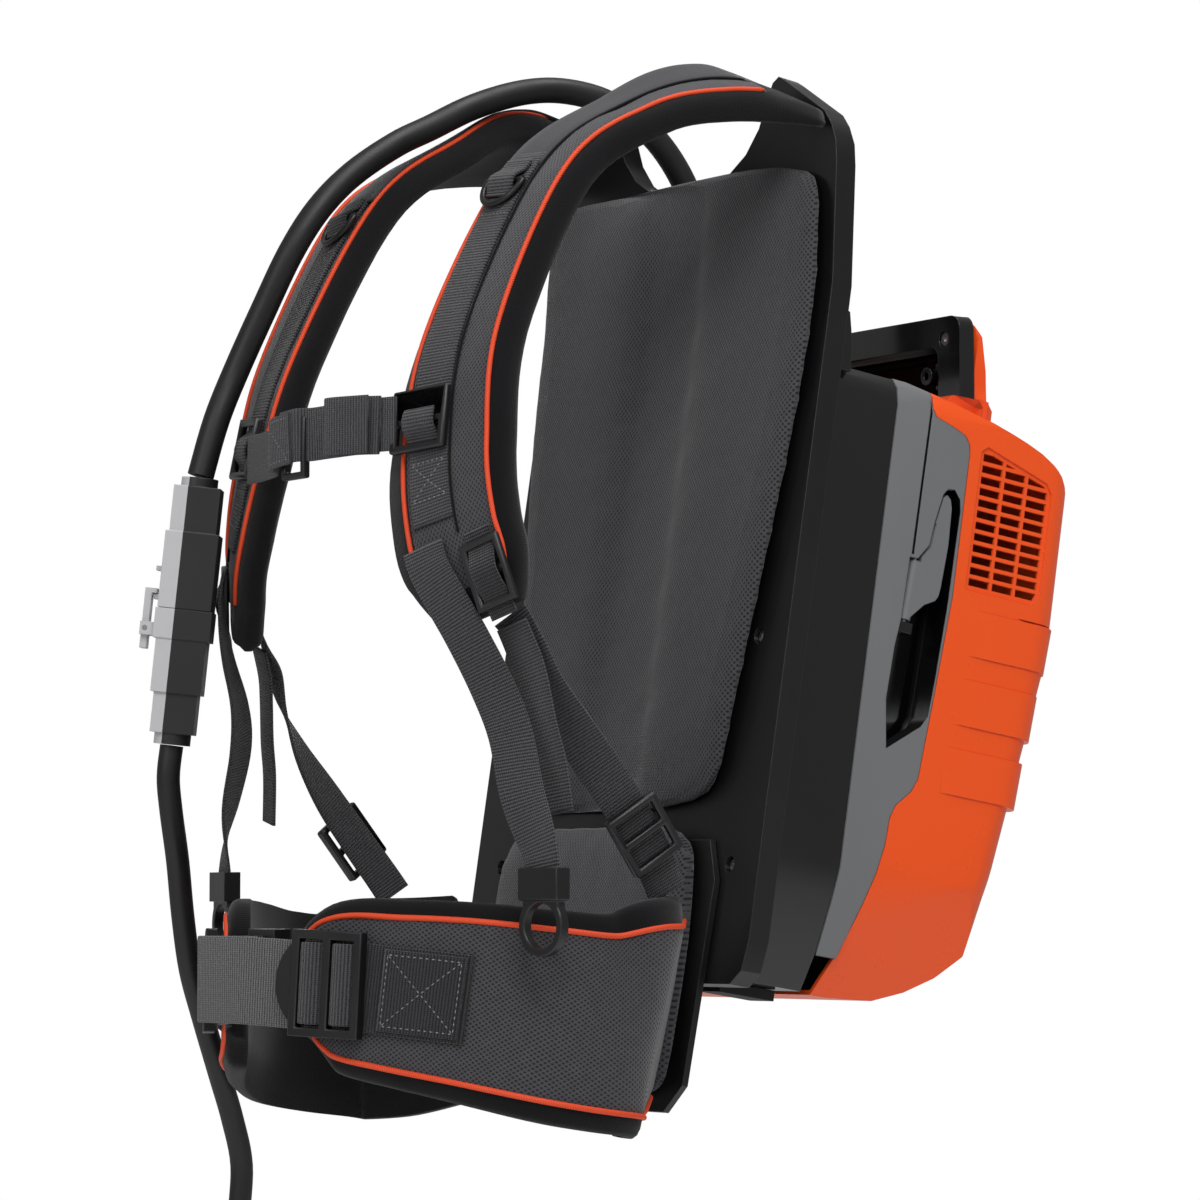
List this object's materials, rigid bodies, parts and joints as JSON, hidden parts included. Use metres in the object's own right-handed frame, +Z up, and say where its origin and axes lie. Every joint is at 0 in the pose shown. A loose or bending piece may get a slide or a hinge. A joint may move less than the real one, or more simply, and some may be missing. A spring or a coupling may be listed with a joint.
{
  "type": "backpack battery power unit",
  "caption": "Backpack battery power unit on a padded harness, with a carry handle, release levers, louvred vents and a lead with an in-line coupling.",
  "frame": {"origin": "centre line, in the plane of the back pad's face that touches the wearer, level with the top edge of the hip belt", "axes": "+Z up as worn, -Y the way the wearer faces, +X to the wearer's left"},
  "size_m": [0.4168, 0.5017, 0.855],
  "materials": {
    "black_plastic": "satin",
    "gloss_black_plastic": "gloss",
    "grey_plastic": "satin",
    "orange_plastic": "gloss",
    "coupling_plastic": "satin",
    "pad_fabric": "matte",
    "mesh_fabric": "matte",
    "webbing": "matte",
    "steel": "satin",
    "rubber": "matte",
    "cell_can": "satin",
    "circuit_board": "satin"
  },
  "bodies": {
    "pack": {"back_plate": "black_plastic", "back_pad": "pad_fabric", "lumbar_plate": "black_plastic", "lumbar_pad": "pad_fabric", "front_cover": "gloss_black_plastic", "side_frame_left": "grey_plastic", "side_frame_right": "grey_plastic", "recess_tray_left": "gloss_black_plastic", "recess_tray_right": "gloss_black_plastic", "rear_cover": "orange_plastic", "handle_grip": "gloss_black_plastic", "hand_pocket": "gloss_black_plastic", "lever_pins": "steel", "housing_screws": "steel", "base_feet": "rubber", "cells": "cell_can", "cell_holders": "black_plastic", "control_board": "circuit_board", "cord_gland": "black_plastic", "shoulder_pad_left": "pad_fabric", "shoulder_pad_right": "pad_fabric", "shoulder_webbing_left": "webbing", "shoulder_webbing_right": "webbing", "sternum_slider_left": "black_plastic", "sternum_slider_right": "black_plastic", "sternum_strap_left": "webbing", "sternum_strap_right": "webbing", "sternum_hook": "black_plastic", "strap_adjuster_left": "black_plastic", "strap_adjuster_right": "black_plastic", "lower_strap_left": "webbing", "lower_strap_right": "webbing", "ladder_lock_left": "black_plastic", "ladder_lock_right": "black_plastic", "strap_tail_left": "webbing", "strap_tail_right": "webbing", "pull_ring_left": "black_plastic", "pull_ring_right": "black_plastic", "hip_pad_left": "mesh_fabric", "hip_pad_right": "mesh_fabric", "hip_webbing_left": "webbing", "hip_webbing_right": "webbing", "hip_adjuster_left": "black_plastic", "hip_adjuster_right": "black_plastic", "hip_buckle_socket": "black_plastic", "hip_buckle_plug": "black_plastic", "power_cord": "rubber", "coupling_socket": "coupling_plastic", "coupling_plug": "coupling_plastic", "latch_pin": "steel", "tool_cord": "rubber", "tool_adapter": "coupling_plastic"},
    "lever_left": {"release_lever_left": "grey_plastic"},
    "lever_right": {"release_lever_right": "grey_plastic"},
    "ring_left": {"d_ring_left": "black_plastic"},
    "ring_right": {"d_ring_right": "black_plastic"},
    "latch": {"coupling_latch": "black_plastic"}
  },
  "joints": [
    {"name": "lever_left_hinge", "type": "hinge", "parent": "pack", "child": "lever_left", "pos_m": [0.1454, 0.12952, 0.17084], "axis": [0, -0.225, -0.9744], "range_deg": [0, 20], "stiffness_Nm_per_rad": 0.05},
    {"name": "lever_right_hinge", "type": "hinge", "parent": "pack", "child": "lever_right", "pos_m": [-0.1454, 0.12952, 0.17084], "axis": [0, 0.225, 0.9744], "range_deg": [0, 20], "stiffness_Nm_per_rad": 0.05},
    {"name": "ring_left_hinge", "type": "hinge", "parent": "pack", "child": "ring_left", "pos_m": [0.09366, -0.11539, 0.41895], "axis": [-0.9957, -0.0687, 0.0628], "range_deg": [0, 120]},
    {"name": "ring_right_hinge", "type": "hinge", "parent": "pack", "child": "ring_right", "pos_m": [-0.09366, -0.11539, 0.41895], "axis": [-0.9957, 0.0687, -0.0628], "range_deg": [0, 120]},
    {"name": "latch_hinge", "type": "hinge", "parent": "pack", "child": "latch", "pos_m": [-0.13021, -0.22832, 0.16889], "axis": [0.8372, -0.5465, -0.0217], "range_deg": [0, 25], "stiffness_Nm_per_rad": 0.02}
  ]
}
